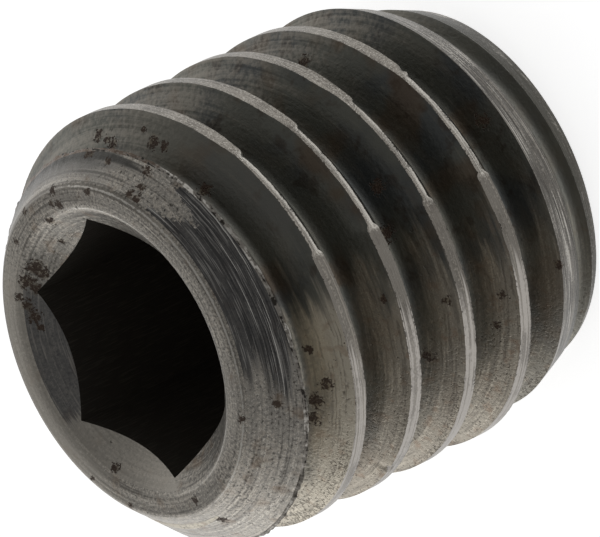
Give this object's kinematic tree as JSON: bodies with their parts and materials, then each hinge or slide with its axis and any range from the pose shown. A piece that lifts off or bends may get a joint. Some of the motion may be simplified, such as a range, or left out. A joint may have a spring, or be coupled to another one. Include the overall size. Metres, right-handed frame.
{
  "type": "orifice restrictor screw",
  "caption": "Short socket set screw with a coarse outside thread, hexagon socket, flat point and a fine metering hole through its axis.",
  "frame": {"origin": "centre of the point face, which the screw stands on", "axes": "+Z along the screw's axis, from the point towards the socket"},
  "size_m": [0.0048, 0.0048, 0.005],
  "materials": {
    "steel": "thinly blackened steel, worn bright on the crests and the turned faces, with specks of rust"
  },
  "bodies": {
    "root": {"screw_body": "steel"}
  },
  "joints": []
}
